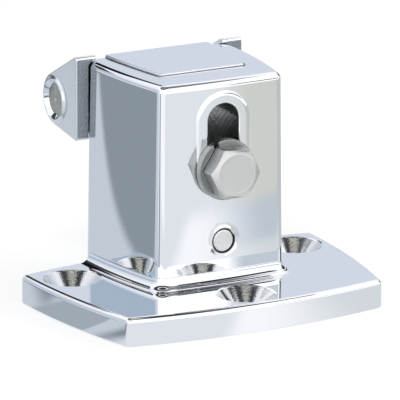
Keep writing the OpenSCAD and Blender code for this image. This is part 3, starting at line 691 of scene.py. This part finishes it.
# Floor: near white for the camera, and painted in tones that only the plating sees.
FLOOR_HALF, FLOOR_Z = 3, -0.0002
floor_corners = [(x * FLOOR_HALF, y * FLOOR_HALF, FLOOR_Z) for x, y in ((-1, -1), (1, -1), (1, 1), (-1, 1))]
floor_mesh = bpy.data.meshes.new("floor")
floor_mesh.from_pydata(floor_corners, [], [[0, 1, 2, 3]])
floor = bpy.data.objects.new("floor", floor_mesh)
bpy.context.scene.collection.objects.link(floor)
paint = bpy.data.materials.new("floor")
paint.use_nodes = True
nodes, links = paint.node_tree.nodes, paint.node_tree.links
nodes.clear()
where = nodes.new("ShaderNodeSeparateXYZ")
links.new(nodes.new("ShaderNodeTexCoord").outputs["Object"], where.inputs[0])
x, y = where.outputs["X"], where.outputs["Y"]
left_line = slanted(nodes, links, x, y, 0.894, 0.447)
front_line = slanted(nodes, links, x, y, 1.0, 0.577)
tone = mix(nodes, links, within(nodes, links, (front_line, -0.039, -0.031), (y, -0.13, -0.1)),
           shown(221, 226, 233), shown(246, 247, 253))
grey = mix(nodes, links, mask(nodes, links, y, -0.125, -0.108), shown(203, 205, 201), shown(187, 197, 208))
grey = mix(nodes, links, mask(nodes, links, y, -0.084, -0.068), grey, shown(209, 215, 220))
grey = mix(nodes, links, mask(nodes, links, front_line, 0.03, 0.075), grey, shown(186, 191, 195))
tone = mix(nodes, links, mask(nodes, links, front_line, -0.03, 0.012), tone, grey)
left_front = within(nodes, links, (x, -0.03, -0.05), (y, -0.09, -0.12))
tone = mix(nodes, links, left_front, tone, shown(244, 246, 251))
left_back = within(nodes, links, (x, -0.015, -0.03), (slanted(nodes, links, x, y, 0.1, 1.0), -0.045, -0.035))
tone = mix(nodes, links, left_back, tone, shown(193, 202, 212))
slate_side = within(nodes, links, (left_line, -0.038, -0.046),
                    (slanted(nodes, links, x, y, -0.574, -0.819), 0.03, 0.022))
tone = mix(nodes, links, slate_side, tone, shown(135, 146, 156))
corner_line = within(nodes, links, (slanted(nodes, links, x, y, 0.292, -0.956), 0.009, 0.017),
                     (slanted(nodes, links, x, y, 0.454, -0.891), 0.013, 0.005), (x, -0.03, -0.05))
tone = mix(nodes, links, corner_line, tone, shown(120, 128, 136))
tone = mix(nodes, links, mask(nodes, links, y, -0.3, -0.6), tone, (1.2, 1.2, 1.22))
patch = within(nodes, links, (x, -0.075, -0.074), (x, -0.04, -0.044), (y, -0.021, -0.02),
               (y, 0.006, 0.002))
tone = mix(nodes, links, patch, tone, shown(158, 169, 179))
seen = nodes.new("ShaderNodeEmission")
links.new(tone, seen.inputs["Color"])
white = nodes.new("ShaderNodeEmission")
white.inputs["Color"].default_value = (1, 1, 1, 1)
plain = nodes.new("ShaderNodeBsdfDiffuse")
plain.inputs["Color"].default_value = (0.9, 0.9, 0.9, 1)
ground = nodes.new("ShaderNodeMixShader")
ground.inputs[0].default_value = 0.55
links.new(plain.outputs[0], ground.inputs[1])
links.new(white.outputs[0], ground.inputs[2])
rays = nodes.new("ShaderNodeLightPath")
choose = nodes.new("ShaderNodeMixShader")
links.new(rays.outputs["Is Glossy Ray"], choose.inputs[0])
links.new(ground.outputs[0], choose.inputs[1])
links.new(seen.outputs[0], choose.inputs[2])
links.new(choose.outputs[0], nodes.new("ShaderNodeOutputMaterial").inputs["Surface"])
floor_mesh.materials.append(paint)

# Flags: two black cards that only reflections see.
black = bpy.data.materials.new("flag")
black.use_nodes = True
black.node_tree.nodes["Principled BSDF"].inputs["Base Color"].default_value = (0.005, 0.005, 0.006, 1)
for name, corners in (("left flag", [(-37, 75, 42), (-25, 75, 42), (-33, 75, 106), (-64, 75, 106)]),
                      ("front flag", [(13, -50, 66), (55, -50, 66), (55, -34, 66), (13, -34, 66)])):
    mesh = bpy.data.meshes.new(name)
    mesh.from_pydata((np.array(corners) * MM).tolist(), [], [[0, 1, 2, 3]])
    mesh.materials.append(black)
    flag = bpy.data.objects.new(name, mesh)
    bpy.context.scene.collection.objects.link(flag)
    flag.visible_camera = flag.visible_diffuse = flag.visible_shadow = False

# Room: white behind the object, and round it bright and dark areas that the plating reflects.
world = bpy.data.worlds.new("studio")
bpy.context.scene.world = world
world.use_nodes = True
nodes, links = world.node_tree.nodes, world.node_tree.links
nodes.clear()
way = nodes.new("ShaderNodeSeparateXYZ")
links.new(nodes.new("ShaderNodeTexCoord").outputs["Generated"], way.inputs[0])
x, y, z = way.outputs["X"], way.outputs["Y"], way.outputs["Z"]
sky = mix(nodes, links, mask(nodes, links, z, 0.3, 0.8), shown(206, 213, 227), (1.1, 1.1, 1.12))
sky = mix(nodes, links, mask(nodes, links, y, -0.05, -0.25), sky, (1.25, 1.25, 1.27))
for tint, limits in (
        (shown(168, 185, 202), ((x, -0.36, -0.42), (y, 0.3, 0.45), (z, 0.17, 0.2), (z, 0.36, 0.33))),
        (shown(198, 207, 216), ((slanted(nodes, links, x, y, 1.0, 0.577), -0.02, 0.04), (y, -0.3, -0.4),
                                (z, 0.17, 0.2), (z, 0.34, 0.31))),
        (srgb(22, 23, 28), ((x, -0.06, -0.01), (x, 0.42, 0.37), (z, 0.34, 0.37), (z, 0.62, 0.58),
                            (y, 0.6, 0.7))),
        (srgb(126, 128, 136), ((z, 0.84, 0.88),)),
        (srgb(62, 64, 70), ((z, 0.84, 0.88), (x, 0.43, 0.36))),
        ((1.15, 1.12, 1.0), ((z, 0.952, 0.958), (z, 0.975, 0.968))),
        (srgb(26, 28, 33), ((x, 0.72, 0.75), (y, 0.0, 0.1), (z, 0.1, 0.15), (z, 0.62, 0.56))),
        ((1.1, 1.08, 0.95), ((x, 0.79, 0.80), (x, 0.84, 0.83), (y, 0.0, 0.1), (z, 0.1, 0.15),
                             (z, 0.62, 0.56)))):
    sky = mix(nodes, links, within(nodes, links, *limits), sky, tint)
surround = nodes.new("ShaderNodeBackground")
links.new(sky, surround.inputs["Color"])
clean = nodes.new("ShaderNodeBackground")
clean.inputs["Color"].default_value = (1, 1, 1, 1)
rays = nodes.new("ShaderNodeLightPath")
choose = nodes.new("ShaderNodeMixShader")
links.new(rays.outputs["Is Camera Ray"], choose.inputs[0])
links.new(surround.outputs[0], choose.inputs[1])
links.new(clean.outputs[0], choose.inputs[2])
links.new(choose.outputs[0], nodes.new("ShaderNodeOutputWorld").inputs["Surface"])

# Lamps: a soft main one and a fill, kept out of the reflections.
for name, place, size, power in (("key", (-0.5, -0.6, 0.9), 0.5, 6.0),
                                 ("fill", (0.7, -0.3, 0.6), 0.4, 3.0)):
    light = bpy.data.lights.new(name, "AREA")
    light.size, light.energy = size, power
    lamp = bpy.data.objects.new(name, light)
    lamp.location = place
    lamp.rotation_euler = (-Vector(place)).to_track_quat("-Z", "Y").to_euler()
    lamp.visible_glossy = False
    bpy.context.scene.collection.objects.link(lamp)

# Camera: its place and directions were fitted to the edges in the photo.
lens = bpy.data.cameras.new("camera")
lens.lens, lens.sensor_width = 450, 36
lens.clip_start, lens.clip_end = 0.1, 20
camera = bpy.data.objects.new("camera", lens)
right_way = Vector((0.87595, -0.48236, 0.00531))
up_way = Vector((0.12619, 0.23975, 0.9626))
back_way = right_way.cross(up_way)
turned_to = Matrix((right_way, up_way, back_way)).transposed().to_4x4()
camera.matrix_world = Matrix.Translation(Vector((-0.62166, -1.13351, 0.38864))) @ turned_to
bpy.context.scene.collection.objects.link(camera)
bpy.context.scene.camera = camera
bpy.context.scene.view_settings.view_transform = "Standard"
